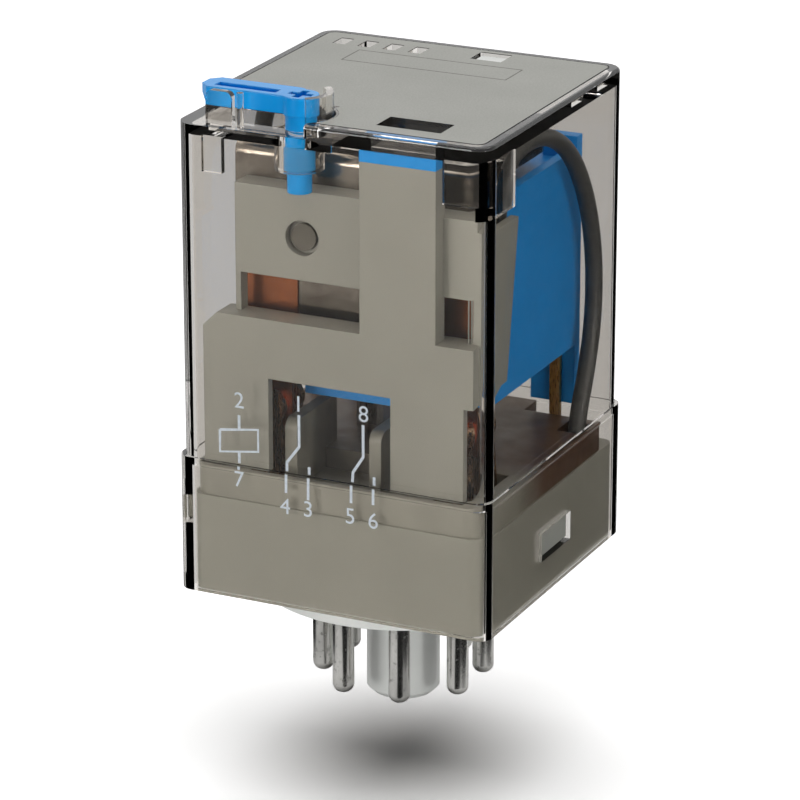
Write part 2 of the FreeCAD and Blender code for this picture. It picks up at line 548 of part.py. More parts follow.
def make_moving_blades():
    """Bronze blades behind the carrier's plates, each with a tag for its lead at the top."""
    for side, sign in SIDES.items():
        body = new_body("moving_blade_" + side)
        contact_x = side + "_contact_x"
        blade = (contact_x + " - moving_blade_width / 2", contact_x + " + moving_blade_width / 2")
        thick = (MOVING_BLADE_Y, MOVING_BLADE_Y + " + moving_blade_thick")
        tag = mirrored(sign, "lead_tag_x - lead_tag_width / 2", "lead_tag_x + lead_tag_width / 2")
        tag_z = ("lead_tag_z - moving_blade_thick", "lead_tag_z")
        inner, outer = sorted((blade, tag), key=lambda span: value(span[0]))
        pad(body, "y", thick, lambda s: rectangle(s, blade, ("moving_blade_low", "moving_blade_high")))
        if sign < 0:
            pad(body, "y", thick, lambda s: rectangle(
                s, ("wide_blade_left", "wide_blade_right"), ("wide_blade_low", "moving_blade_high")))
        pad(body, "y", thick, lambda s: rectangle(s, (inner[0], outer[1]), tag_z))
        pad(body, "z", tag_z, lambda s: rectangle(s, tag, (MOVING_BLADE_Y, "lead_tag_rear")))
        pocket(body, "y", thick,
               lambda s: circle(s, contact_x, "blade_rivet_z", "blade_rivet_radius + fit_gap"))

        button = fuse(
            rod("y", "contact_radius", (contact_x, "contact_z"), (MOVING_FRONT_Y, MOVING_BLADE_Y)),
            rod("y", "contact_radius", (contact_x, "contact_z"),
                (MOVING_BLADE_Y + " + moving_blade_thick", MOVING_REAR_Y)),
            rod("y", "contact_radius / 2", (contact_x, "contact_z"), (MOVING_FRONT_Y, MOVING_REAR_Y)))
        finish(button, "moving_contact_" + side)
        pocket(body, "y", thick, lambda s: circle(s, contact_x, "contact_z", "contact_radius / 2 + fit_gap"))

        rivet = fuse(
            rod("y", "blade_rivet_radius", (contact_x, "blade_rivet_z"),
                ("plate_front + recess_hole_depth", thick[1] + " + blade_rivet_head_thick")),
            rod("y", "blade_rivet_head", (contact_x, "blade_rivet_z"),
                (thick[1], thick[1] + " + blade_rivet_head_thick")))
        finish(rivet, "blade_rivet_" + side)


def make_links():
    """Flat links inside the base block: pins 2 and 7 to the coil, pins 1 and 8 to the leads."""
    foot = ("pin_top", "pin_top + foot_thick")
    for side, sign in SIDES.items():
        pin_x, pin_y = pin_place(2 if sign < 0 else 7)
        near_pin = ("%s - foot_width / 2" % pin_x, "%s + foot_width / 2" % pin_x)
        post = mirrored(sign, "post_x - post_width / 2", "post_x + post_width / 2")
        low, high = sorted((near_pin, post), key=lambda span: value(span[0]))
        finish(fuse(
            box((low[0], high[1]), ("%s - foot_width / 2" % pin_y, "%s + foot_width / 2" % pin_y), foot),
            box(post, ("%s - foot_width / 2" % pin_y, "post_y + post_thick / 2"), foot),
            box(post, ("post_y - post_thick / 2", "post_y + post_thick / 2"),
                ("pin_top", BOBBIN_LOW + " + bobbin_flange + post_rise"))),
            "coil_terminal_" + side)

        pin_x, pin_y = pin_place(1 if sign < 0 else 8)
        near_pin = ("%s - foot_width / 2" % pin_x, "%s + foot_width / 2" % pin_x)
        tag = mirrored(sign, "tag_x - tag_thick / 2", "tag_x + tag_thick / 2")
        low, high = sorted((near_pin, tag), key=lambda span: value(span[0]))
        run = ("tag_rear - tag_run + 0.2", "tag_rear")
        finish(fuse(
            box(near_pin, ("%s - foot_width / 2" % pin_y, "tag_rear"), foot),
            box((low[0], high[1]), run, foot),
            box(tag, ("tag_front", "tag_rear"), foot),
            box(tag, ("tag_front", "tag_front + tag_depth"), ("pin_top", "tag_high"))),
            "common_link_" + side)


# --- Magnet ----------------------------------------------------------------------------------

def make_yoke():
    body = new_body("yoke")
    pad(body, "x", ("-yoke_width / 2", "yoke_width / 2"), lambda s: outline(s, [
        ("yoke_front", "yoke_low"), (YOKE_LEG_REAR, "yoke_low"), (YOKE_LEG_REAR, YOKE_HIGH),
        (YOKE_LEG_FRONT, YOKE_HIGH), (YOKE_LEG_FRONT, BOBBIN_LOW), ("yoke_front", BOBBIN_LOW)]))
    dress(body, "Fillet", "yoke_thick / 2",
          lambda e: near(e.BoundBox.YMin, value(YOKE_LEG_REAR)) and near(e.BoundBox.ZMax, value("yoke_low")))
    for sign in (-1, 1):
        lug = mirrored(sign, "yoke_lug_x - yoke_lug_width / 2", "yoke_lug_x + yoke_lug_width / 2")
        pad(body, "z", ("deck_high", "yoke_low + yoke_thick / 2"),
            lambda s: rectangle(s, lug,
                                ("yoke_lug_y - yoke_lug_depth / 2", "yoke_lug_y + yoke_lug_depth / 2")))
    pocket(body, "z", ("yoke_low", BOBBIN_LOW), lambda s: circle(s, 0, "core_y", "core_tail + fit_gap"))
    pocket(body, "y", (YOKE_LEG_FRONT, YOKE_LEG_REAR),
           lambda s: circle(s, 0, "screw_z", "screw_radius + fit_gap"))


def make_core():
    finish(fuse(
        rod("z", "core_radius", (0, "core_y"), (BOBBIN_LOW, "core_top")),
        rod("z", "pole_radius", (0, "core_y"), ("core_top - pole_thick", "core_top")),
        rod("z", "core_tail", (0, "core_y"), ("yoke_low - core_head_thick", BOBBIN_LOW)),
        rod("z", "core_head", (0, "core_y"), ("yoke_low - core_head_thick", "yoke_low"))), "coil_core")


def make_bobbin():
    body = new_body("coil_bobbin")
    half = ("-bobbin_half", "bobbin_half")
    depth = ("bobbin_front", "bobbin_rear")
    back = ("bobbin_rear - bobbin_back_wall", "bobbin_rear")
    tube = "core_radius + fit_gap + bobbin_tube"
    floor = (BOBBIN_LOW, BOBBIN_LOW + " + bobbin_flange")
    pad(body, "z", floor, lambda s: rectangle(s, half, ("bobbin_toe", "bobbin_rear")))
    pad(body, "z", ("bobbin_toe_low", BOBBIN_LOW + " + bobbin_flange / 2"), lambda s: rectangle(
        s, ("-bobbin_toe_half", "bobbin_toe_half"), ("bobbin_toe", "bobbin_front")))
    pad(body, "z", (BOBBIN_LOW, "bobbin_high"), lambda s: circle(s, 0, "core_y", tube))
    for sign in (-1, 1):
        wall = mirrored(sign, "bobbin_half - bobbin_wall", "bobbin_half")
        lug = mirrored(sign, "bobbin_half - bobbin_lug_width", "bobbin_half")
        leg = mirrored(sign, "bobbin_half - bobbin_leg_width", "bobbin_half")
        pad(body, "z", (BOBBIN_LOW, "bobbin_side_high"), lambda s: rectangle(s, wall, depth))
        pad(body, "z", (BOBBIN_LOW, "bobbin_lug_high"), lambda s: rectangle(s, lug, back))
        pad(body, "z", ("bobbin_leg_low", floor[1]), lambda s: rectangle(s, leg, back))
    pad(body, "z", (BOBBIN_LOW, "bobbin_high"), lambda s: rectangle(s, half, back))
    pad(body, "z", ("bobbin_high - bobbin_flange", "bobbin_high"), lambda s: rectangle(s, half, depth))
    pocket(body, "z", (BOBBIN_LOW, "bobbin_high"), lambda s: circle(s, 0, "core_y", "core_radius + fit_gap"))
    pocket(body, "z", (BOBBIN_LOW, "bobbin_high"),
           lambda s: rectangle(s, ("-yoke_width / 2 - slot_gap", "yoke_width / 2 + slot_gap"),
                               (YOKE_LEG_FRONT + " - slot_gap",
                                YOKE_LEG_REAR + " + screw_head + screw_clear")))
    for sign in (-1, 1):
        post = mirrored(sign, "post_x - post_width / 2 - fit_gap", "post_x + post_width / 2 + fit_gap")
        pocket(body, "z", (BOBBIN_LOW, BOBBIN_LOW + " + bobbin_flange"), lambda s: rectangle(
            s, post, ("post_y - post_thick / 2 - fit_gap", "post_y + post_thick / 2 + fit_gap")))


def make_winding():
    span = (BOBBIN_LOW + " + bobbin_flange + winding_gap", "bobbin_high - bobbin_flange - winding_gap")
    finish(cut(
        rod("z", "winding_radius", (0, "core_y"), span),
        rod("z", "core_radius + fit_gap + bobbin_tube", (0, "core_y"), span)), "coil_winding")

    # The ends of the wire run from the side of the winding to the coil terminals.
    for side, sign in SIDES.items():
        height = value(BOBBIN_LOW + " + bobbin_flange + wire_rise")
        angle = math.radians(value("wire_angle"))
        reach = value("winding_radius + wire_gap")
        start = Vector(sign * reach * math.cos(angle), value("core_y") + reach * math.sin(angle), height)
        end = Vector(sign * value("post_x - post_width / 4"),
                     value("post_y - post_thick / 2 - wire_diameter / 4"), height)
        wire = doc.addObject("Part::Feature", "Wire")
        wire.Shape = Part.makeCylinder(value("wire_diameter / 2"), (end - start).Length, start, end - start)
        finish(wire, "coil_wire_" + side)


def make_return_spring():
    """A leaf on the back of the yoke that bends over the armature's tail."""
    body = new_body("return_spring")
    top = ARMATURE_HIGH + " + spring_high_gap"
    rear = YOKE_LEG_REAR + " + spring_thick"
    pad(body, "x", ("-spring_width / 2", "spring_width / 2"), lambda s: outline(s, [
        (YOKE_LEG_REAR, "spring_low"), (rear, "spring_low"), (rear, top + " + spring_thick"),
        (rear + " - spring_reach", top + " + spring_thick"), (rear + " - spring_reach", top),
        (YOKE_LEG_REAR, top)]))
    pocket(body, "y", (YOKE_LEG_REAR, rear), lambda s: circle(s, 0, "screw_z", "screw_radius + fit_gap"))
    finish(fuse(
        rod("y", "screw_radius", (0, "screw_z"), (YOKE_LEG_FRONT, rear)),
        rod("y", "screw_radius * 1.8", (0, "screw_z"), (rear, rear + " + screw_head"))), "spring_screw")


# --- Armature and contact carrier ------------------------------------------------------------

def make_armature():
    body = new_body("armature")
    pad(body, "x", ("-armature_half", "armature_half"), lambda s: outline(s, [
        (YOKE_LEG_REAR, "armature_low"), (YOKE_LEG_REAR, ARMATURE_HIGH), ("armature_slope", ARMATURE_HIGH),
        ("apron_rear", APRON_HIGH), (APRON_FRONT, APRON_HIGH),
        (APRON_FRONT, APRON_HIGH + " - armature_thick"),
        ("apron_rear", APRON_HIGH + " - armature_thick"), ("armature_slope", "armature_low")]))
    rear = value(YOKE_LEG_REAR)
    dress(body, "Fillet", "armature_rear_round", lambda e: upright(e) and near(e.BoundBox.YMin, rear))
    apron = (APRON_FRONT, "apron_rear")
    pad(body, "y", apron, lambda s: rectangle(s, ("-apron_half", "apron_half"), ("apron_low", APRON_HIGH)))
    pad(body, "y", apron,
        lambda s: rectangle(s, ("strip_left", "strip_right"), ("strip_low", "armature_low")))
    front = value(APRON_FRONT)
    top = value(APRON_HIGH)
    dress(body, "Fillet", "apron_bend",
          lambda e: flat_at(e, top) and near(e.BoundBox.YMin, front) and near(e.BoundBox.YMax, front))
    pocket(body, "y", apron, lambda s: circle(s, "rivet_x", "rivet_z", "rivet_radius + fit_gap"))


def make_carrier():
    body = new_body("contact_carrier")
    front_skin = ("carrier_front", "carrier_front + leg_thick")
    plates = ("plate_front", PLATE_REAR)
    pad(body, "y", ("carrier_front", "bar_rear"), lambda s: outline(s, [
        ("carrier_left", "bar_low"), ("carrier_right", "bar_low"), ("carrier_right", "bar_high"),
        ("carrier_left + bar_chamfer", "bar_high"), ("carrier_left", "bar_high - bar_chamfer")]))
    pad(body, "y", front_skin,
        lambda s: rectangle(s, ("carrier_left", "left_leg_right"), ("leg_low", "bar_low + 1")))
    pad(body, "y", front_skin, lambda s: rectangle(
        s, ("right_leg_left", "right_leg_right"), ("leg_low", "bar_low + 1")))
    pad(body, "y", ("carrier_front", "arm_rear"), lambda s: rectangle(
        s, ("arm_left", "arm_right"), ("bar_high - 1", "arm_high")))
    pad(body, "y", plates, lambda s: rectangle(
        s, ("left_plate_left", "arm_left + 1.6"), ("left_plate_low", "left_plate_high")))
    pad(body, "y", plates, lambda s: rectangle(
        s, ("right_plate_left", "right_plate_right"), ("right_plate_low", "right_plate_high")))
    for left, width in (("left_plate_left", "left_post"),
                        ("right_plate_right - plate_post / 2", "plate_post")):
        pad(body, "y", ("plate_front", "bar_rear"), lambda s: rectangle(
            s, (left, "%s + %s" % (left, width)), ("bar_high - 1", "right_plate_low + 1")))
    cheek = ("right_plate_right - 0.1", "right_plate_right + cheek_thick")
    pad(body, "x", cheek, lambda s: outline(s, [
        ("plate_front", "cheek_high"), ("plate_front", "bar_low"), ("cheek_toe", "cheek_low"),
        ("cheek_heel", "cheek_low"), ("cheek_rear", "cheek_high")]))
    pocket(body, "y", ("plate_front", "plate_front + recess_hole_depth"),
           lambda s: circle(s, "rivet_x", "rivet_z", "recess_hole_radius"))
    pocket(body, "y", plates, lambda s: circle(s, "rivet_x", "rivet_z", "rivet_radius + fit_gap"))
    for contact_x in ("left_contact_x", "right_contact_x"):
        pocket(body, "y", ("plate_front + recess_hole_depth", PLATE_REAR),
               lambda s: circle(s, contact_x, "blade_rivet_z", "blade_rivet_radius + fit_gap"))
    finish(fuse(
        rod("y", "rivet_radius", ("rivet_x", "rivet_z"),
            ("plate_front + recess_hole_depth - rivet_head_thick", "apron_rear + rivet_head_thick")),
        rod("y", "rivet_head", ("rivet_x", "rivet_z"),
            ("plate_front + recess_hole_depth - rivet_head_thick", "plate_front + recess_hole_depth")),
        rod("y", "rivet_head", ("rivet_x", "rivet_z"), ("apron_rear", "apron_rear + rivet_head_thick"))),
        "carrier_rivet")
    finish(box(("arm_left", "arm_right"), ("carrier_front", "arm_rear"),
               ("arm_high", "arm_high + flag_thick")),
           "indicator_flag")


# --- Test button -----------------------------------------------------------------------------

def make_button():
    body = new_body("test_button")
    arm_y = ("button_y - button_arm_front", "button_y + button_arm_rear")
    arm = (ARM_LOW, ARM_HIGH)
    pad(body, "z", arm, lambda s: rectangle(s, ("button_arm_left", "button_x"), arm_y))
    left, right = value("button_arm_left"), value("button_x")
    dress(body, "Fillet", "button_arm_round", lambda e: upright(e) and near(e.BoundBox.XMax, right)
          and near(e.BoundBox.YMax, value(arm_y[1])))
    pad(body, "z", (ARM_LOW + " - button_boss_drop", ARM_HIGH),
        lambda s: circle(s, "button_x", "button_y", "button_boss_radius"))
    pad(body, "z", (TIP_LOW + " + tip_length", ARM_LOW),
        lambda s: circle(s, "button_x", "button_y", "shaft_radius"))
    pad(body, "z", (TIP_LOW, ARM_LOW), lambda s: circle(s, "button_x", "button_y", "tip_radius"))
    dress(body, "Chamfer", "button_arm_chamfer", lambda e: upright(e) and near(e.BoundBox.XMin, left))
    dress(body, "Chamfer", "button_arm_chamfer * 0.9", lambda e: near(e.BoundBox.XMax, left) and flat_at(
        e, value(ARM_LOW)))
    pocket(body, "z", (ARM_HIGH + " - button_slot_depth", ARM_HIGH), lambda s: rectangle(
        s, ("button_slot_left", "button_slot_right"),
        ("button_y - button_slot_width / 2", "button_y + button_slot_width / 2")))
    for half_x, half_y in (("cross_length / 2", "cross_width / 2"), ("cross_width / 2", "cross_length / 2")):
        pocket(body, "z", (ARM_HIGH + " - button_slot_depth", ARM_HIGH), lambda s: rectangle(
            s, ("button_x - " + half_x, "button_x + " + half_x),
            ("button_y - " + half_y, "button_y + " + half_y)))


# --- Leads -----------------------------------------------------------------------------------

# The right lead's route from the moving blade's tag, over the coil and down to the tag in the base.
LEAD_ROUTE = [(13.1, -7.0, 41.2), (13.1, -7.0, 46.2), (13.8, -5.2, 51.0), (14.9, 0.6, 51.7),
              (15.2, 6.8, 48.4), (15.2, 11.6, 42.2), (15.2, 14.0, 35.0), (15.2, 14.1, 27.6),
              (15.15, 12.3, 21.6), (15.05, 10.5, 17.4), (14.95, 10.0, 13.7)]


def rounded_path(points):
    """Straight runs joined by tangent arcs that use lead_bend of the shorter run at each corner."""
    share = value("lead_bend")
    edges = []
    start = points[0]
    for before, corner, after in zip(points, points[1:], points[2:]):
        back, ahead = before - corner, after - corner
        trim = share * min(back.Length, ahead.Length)
        back.normalize()
        ahead.normalize()
        first, last = corner + back * trim, corner + ahead * trim
        turn = math.pi - back.getAngle(ahead)
        radius = trim / math.tan(turn / 2)
        inward = (back + ahead).normalize()
        centre = corner + inward * math.hypot(trim, radius)
        edges.append(Part.LineSegment(start, first).toShape())
        edges.append(Part.Arc(first, centre - inward * radius, last).toShape())
        print("lead bend radius %.2f" % radius)
        start = last
    edges.append(Part.LineSegment(start, points[-1]).toShape())
    return Part.Wire(edges)


def make_leads():
    radius = value("lead_diameter") / 2
    for side, sign in SIDES.items():
        points = [Vector(sign * x, y, z) for x, y, z in LEAD_ROUTE]
        path = rounded_path(points)
        section = Part.Wire([Part.makeCircle(radius, points[0], points[1] - points[0])])
        lead = doc.addObject("Part::Feature", "Lead")
        lead.Shape = path.makePipeShell([section], True, True)
        expected = math.pi * radius ** 2 * path.Length
        assert abs(lead.Shape.Volume / expected - 1) < 0.02, "lead volume"
        finish(lead, "flex_lead_" + side)


# --- Build, check and write ------------------------------------------------------------------

def check():
    doc.recompute()
    failed = [item.Label for item in doc.Objects if {"Invalid", "Error"} & set(item.State)]
    assert not failed, "failed objects: %s" % failed
    for node in NODES:
        assert not node.Shape.isNull() and node.Shape.isValid(), node.Label
        volume = 0
        for feature in getattr(node, "Group", []):
            if feature.isDerivedFrom("PartDesign::Feature"):
                grew = feature.Shape.Volume - volume
                cuts = feature.TypeId == "PartDesign::Pocket"
                assert not (cuts and grew > -1e-4), "%s %s cuts nothing" % (node.Label, feature.Name)
                volume = feature.Shape.Volume


for make in (make_cover, make_octal_base, make_pins, make_base_block, make_contact_frame,
             make_fixed_contacts, make_moving_blades, make_links, make_yoke, make_core, make_bobbin,
             make_winding, make_return_spring, make_armature, make_carrier, make_button, make_leads):
    make()
check()
os.makedirs("parts", exist_ok=True)
for node in NODES:
    node.Shape.exportStep("parts/%s.step" % node.Label)
    print("%-24s solids %d  volume %8.2f" % (node.Label, len(node.Shape.Solids), node.Shape.Volume))
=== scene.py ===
"""Looks of the eight-pin plug-in relay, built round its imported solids.

Metres. The origin is the centre of the seating face, +Z points up and the front is at -Y.
"""
import json
import math

import bmesh
import bpy
from mathutils import Matrix, Vector


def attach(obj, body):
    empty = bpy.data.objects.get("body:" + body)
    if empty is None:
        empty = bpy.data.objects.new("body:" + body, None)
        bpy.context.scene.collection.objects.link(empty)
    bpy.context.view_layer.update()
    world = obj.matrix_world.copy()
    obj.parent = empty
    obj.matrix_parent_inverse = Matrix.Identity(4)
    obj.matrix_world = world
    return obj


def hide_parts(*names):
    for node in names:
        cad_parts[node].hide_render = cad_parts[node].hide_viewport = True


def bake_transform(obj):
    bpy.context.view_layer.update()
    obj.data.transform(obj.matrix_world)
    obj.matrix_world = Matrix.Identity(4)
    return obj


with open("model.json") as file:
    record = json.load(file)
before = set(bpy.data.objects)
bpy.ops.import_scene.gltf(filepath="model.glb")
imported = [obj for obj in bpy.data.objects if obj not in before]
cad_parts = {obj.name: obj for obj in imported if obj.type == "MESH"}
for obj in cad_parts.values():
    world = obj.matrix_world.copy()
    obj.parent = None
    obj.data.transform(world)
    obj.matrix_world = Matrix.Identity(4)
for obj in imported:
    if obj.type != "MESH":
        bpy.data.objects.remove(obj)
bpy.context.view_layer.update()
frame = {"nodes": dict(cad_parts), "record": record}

MM = 0.001
bpy.ops.object.select_all(action="DESELECT")
scene = bpy.context.scene
scene.view_settings.view_transform = "Standard"


def mm(*values):
    """A point or size in metres from millimetres."""
    return Vector(value * MM for value in values)


# --- Camera ------------------------------------------------------------------------------------

CAMERA_TURN, CAMERA_RISE = 25.37, 19.73          # degrees round from the front and up
CAMERA_TARGET = (0, 0, 29)
CAMERA_DISTANCE = 462.92                         # millimetres back from the target
CAMERA_SLIDE = (-0.364, -8.325)                  # and then to the right and up
CAMERA_LENS = 195.7


def place_camera():
    turn, rise = math.radians(CAMERA_TURN), math.radians(CAMERA_RISE)
    back = Vector((math.sin(turn) * math.cos(rise), -math.cos(turn) * math.cos(rise), math.sin(rise)))
    right = Vector((math.cos(turn), math.sin(turn), 0))
    up = back.cross(right)
    data = bpy.data.cameras.new("studio_camera")
    data.lens, data.sensor_width = CAMERA_LENS, 36.0
    data.clip_start, data.clip_end = 0.01, 20.0
    camera = bpy.data.objects.new("studio_camera", data)
    scene.collection.objects.link(camera)
    across, along = mm(*CAMERA_SLIDE)
    place = mm(*CAMERA_TARGET) + back * (CAMERA_DISTANCE * MM) + right * across + up * along
    camera.matrix_world = Matrix.Translation(place) @ Matrix((right, up, back)).transposed().to_4x4()
    scene.camera = camera


place_camera()


# --- Material makers ---------------------------------------------------------------------------

def paint(red, green, blue):
    """A shader colour from the everyday 0 to 255 values."""
    def light(value):
        value /= 255
        return value / 12.92 if value <= 0.04045 else ((value + 0.055) / 1.055) ** 2.4
    return light(red), light(green), light(blue), 1.0


def shade(colour, by):
    """The colour made lighter or darker by a factor."""
    return tuple(min(1.0, part * by) for part in colour[:3]) + (1.0,)


class Finish:
    """A material in the making, with the object's own coordinates in metres."""

    def __init__(self, name, **sockets):
        self.material = bpy.data.materials.new(name)
        self.material.use_nodes = True
        self.tree = self.material.node_tree
        self.shader = self.tree.nodes["Principled BSDF"]
        self.output = self.tree.nodes["Material Output"]
        self.give(self.shader, sockets)
        self.place = self.add("TexCoord").outputs["Object"]

    def give(self, node, sockets):
        for name, what in sockets.items():
            socket = node.inputs[int(name[1:]) if name[0] == "_" else name.replace("_", " ")]
            if isinstance(what, bpy.types.NodeSocket):
                self.tree.links.new(what, socket)
            else:
                socket.default_value = what

    def add(self, kind, settings=None, **sockets):
        node = self.tree.nodes.new("ShaderNode" + kind)
        for name, what in (settings or {}).items():
            setattr(node, name, what)
        self.give(node, sockets)
        return node

    def set(self, **sockets):
        self.give(self.shader, sockets)

    def stretched(self, size):
        """The object's coordinates, scaled along each axis."""
        return self.add("Mapping", Vector=self.place, Scale=size).outputs[0]

    def noise(self, scale, detail=3.0, place=None, roughness=0.5):
        """A cloudy pattern from 0 to 1; scale is features per metre."""
        return self.add("TexNoise", Vector=place or self.place, Scale=scale, Detail=detail,
                        Roughness=roughness).outputs[0]

    def ramp(self, pattern, low, high, start=0.3, end=0.7):
        """Turn a pattern into numbers from low to high."""
        return self.add("MapRange", Value=pattern, From_Min=start, From_Max=end, To_Min=low,
                        To_Max=high).outputs[0]

    def blend(self, pattern, first, second):
        """Two colours, or colour sockets, mixed by a pattern from 0 to 1."""
        return self.add("Mix", {"data_type": "RGBA"}, _0=pattern, _6=first, _7=second).outputs[2]

    def bump(self, pattern, height, strength=1.0, normal=None):
        node = self.add("Bump", Height=pattern, Distance=height, Strength=strength)
        if normal is not None:
            self.give(node, {"Normal": normal})
        return node.outputs[0]

    def eased(self, radius):
        """Edges that read as rounded by this radius."""
        node = self.add("Bevel", {"samples": 4})
        node.inputs["Radius"].default_value = radius
        return node.outputs[0]


def moulded_plastic(name, colour, roughness, edge=0.12 * MM, grain=0.5, sheen=0.5):
    """Injection-moulded plastic: faint clouds, a fine spark-eroded grain and eased edges."""
    made = Finish(name, Specular_IOR_Level=sheen)
    clouds = made.ramp(made.noise(180, 4), 0.0, 1.0)
    flecks = made.ramp(made.noise(16000, 2), 0.0, 1.0, 0.35, 0.65)
    tone = made.blend(clouds, shade(colour, 0.95), shade(colour, 1.05))
    made.set(Base_Color=made.blend(made.ramp(flecks, 0.0, 0.35, 0.0, 1.0), tone, shade(colour, 0.93)))
    made.set(Roughness=made.ramp(made.noise(600, 3), roughness - 0.05, roughness + 0.07))
    made.set(Normal=made.bump(flecks, 0.0015 * MM, grain, made.eased(edge)))
    return made.material


def worked_metal(name, colour, stain, roughness, grain=(1, 1, 0.08), dull=0.35):
    """Rolled or turned metal: fine lines, a darker stain in patches and eased edges."""
    made = Finish(name, Metallic=1.0)
    lines = made.noise(14000, 3, made.stretched(grain))
    patches = made.ramp(made.noise(420, 5, roughness=0.6), 0.0, dull, 0.42, 0.72)
    tone = made.blend(made.ramp(lines, 0.0, 1.0, 0.35, 0.65), shade(colour, 0.96), shade(colour, 1.03))
    made.set(Base_Color=made.blend(patches, tone, stain))
    made.set(Roughness=made.ramp(lines, roughness - 0.06, roughness + 0.1, 0.3, 0.7))
    made.set(Normal=made.bump(lines, 0.0008 * MM, 0.35, made.eased(0.06 * MM)))
    return made.material


def tinned_pin(colour):
    """Tinned metal: a lumpy solder skin with dull grey patches."""
    made = Finish("tinned_pin", Metallic=1.0)
    lumps = made.noise(430, 2, made.stretched((1, 1, 0.35)), 0.5)
    frost = made.ramp(made.noise(1500, 4, roughness=0.6), 0.0, 1.0, 0.56, 0.72)
    tone = made.blend(made.ramp(lumps, 0.0, 1.0, 0.35, 0.65), shade(colour, 0.8), shade(colour, 1.2))
    made.set(Base_Color=made.blend(made.ramp(frost, 0.0, 0.6, 0.0, 1.0), tone, paint(104, 102, 96)))
    made.set(Roughness=made.ramp(frost, 0.2, 0.36, 0.0, 1.0))
    made.set(Normal=made.bump(lumps, 0.12 * MM, 0.5, made.bump(frost, 0.003 * MM, 0.12)))
    return made.material


def smoked_clear():
    """Clear smoke-tinted polycarbonate. Lamps shine through it with the same tint."""
    made = Finish("smoked_clear", Base_Color=(0.9, 0.872, 0.835, 1), Transmission_Weight=1.0,
                  IOR=1.46, Roughness=0.02)
    ripple = made.noise(160, 2)
    made.set(Normal=made.bump(ripple, 0.01 * MM, 0.25))
    shadow = made.add("BsdfTransparent", Color=(0.82, 0.79, 0.755, 1))
    path = made.add("LightPath")
    mixed = made.add("MixShader", _0=path.outputs["Is Shadow Ray"], _1=made.shader.outputs[0],
                     _2=shadow.outputs[0])
    made.give(made.output, {"Surface": mixed.outputs[0]})
    return made.material


def frosted_panel():
    """The spark-eroded top panel, a pale grey matt film."""
    made = Finish("frosted_panel")
    sparks = made.noise(5200, 3)
    clouds = made.ramp(made.noise(90, 3), 0.0, 1.0)
    tone = made.blend(clouds, paint(159, 159, 153), paint(169, 169, 163))
    made.set(Base_Color=made.blend(made.ramp(sparks, 0.0, 0.45, 0.4, 0.7), tone, paint(146, 146, 139)))
    made.set(Roughness=made.ramp(sparks, 0.5, 0.66))
    made.set(Normal=made.bump(sparks, 0.012 * MM, 0.6))
    return made.material


def panel_painted_dark():
    """A near-black sheet under the panel: a painted dark reflection, which shows at the clear edges of the
    case as their dark band.
    """
    made = Finish("panel_painted_dark", Specular_IOR_Level=0.2)
    patches = made.ramp(made.noise(800, 3), 0.0, 1.0)
    # painted dark reflection: near-black with a mottled tone
    made.set(Base_Color=made.blend(patches, paint(14, 14, 13), paint(24, 23, 21)), Roughness=0.8)
    return made.material


def engraved_line():
    """A darker mottled grey for the thin outline of the label box."""
    made = Finish("engraved_line")
    worn = made.ramp(made.noise(3200, 3), 0.0, 1.0)
    made.set(Base_Color=made.blend(worn, paint(96, 95, 90), paint(122, 121, 115)), Roughness=0.7)
    return made.material


def marker_card():
    """White card with fine fibres."""
    made = Finish("marker_card")
    fibres = made.ramp(made.noise(4200, 4), 0.0, 1.0)
    made.set(Base_Color=made.blend(fibres, paint(232, 233, 230), paint(242, 243, 240)), Roughness=0.5)
    made.set(Normal=made.bump(fibres, 0.004 * MM, 0.4))
    return made.material


def print_ink():
    """Pale printing ink, a little worn."""
    made = Finish("print_ink")
    worn = made.ramp(made.noise(2600, 3), 0.0, 1.0, 0.45, 0.62)
    made.set(Base_Color=made.blend(worn, paint(214, 222, 230), paint(200, 209, 217)), Roughness=0.5)
    made.set(Normal=made.bump(worn, 0.003 * MM, 0.4))
    return made.material


def lead_rubber():
    """The leads' dark grey insulation."""
    made = Finish("lead_rubber")
    skin = made.noise(1500, 4)
    made.set(Base_Color=made.blend(made.ramp(skin, 0.0, 1.0), paint(60, 61, 61), paint(76, 77, 76)))
    made.set(Roughness=made.ramp(skin, 0.4, 0.55), Normal=made.bump(skin, 0.01 * MM, 0.4))
    return made.material


def deck_painted_shade():
    """The deck's grey moulding, turning brown towards the rear: painted shade and a painted reflection of
    the copper behind the contacts.
    """
    made = Finish("deck_painted_shade")
    depth = made.add("SeparateXYZ", Vector=made.place).outputs["Y"]
    clouds = made.noise(260, 4)
    # painted shade and painted copper reflection: brown from y = -9 mm to the rear
    painted_shade_rear = made.ramp(depth, 0.0, 1.0, -9 * MM, -2 * MM)
    grey = made.blend(made.ramp(clouds, 0.0, 1.0), paint(138, 138, 130), paint(148, 148, 139))
    painted_shade_brown = made.blend(made.ramp(clouds, 0.0, 1.0), paint(74, 55, 43), paint(94, 74, 60))
    made.set(Base_Color=made.blend(painted_shade_rear, grey, painted_shade_brown))
    made.set(Roughness=made.ramp(made.noise(600, 3), 0.32, 0.46))
    made.set(Normal=made.bump(made.noise(16000, 2), 0.0015 * MM, 0.5, made.eased(0.12 * MM)))
    return made.material


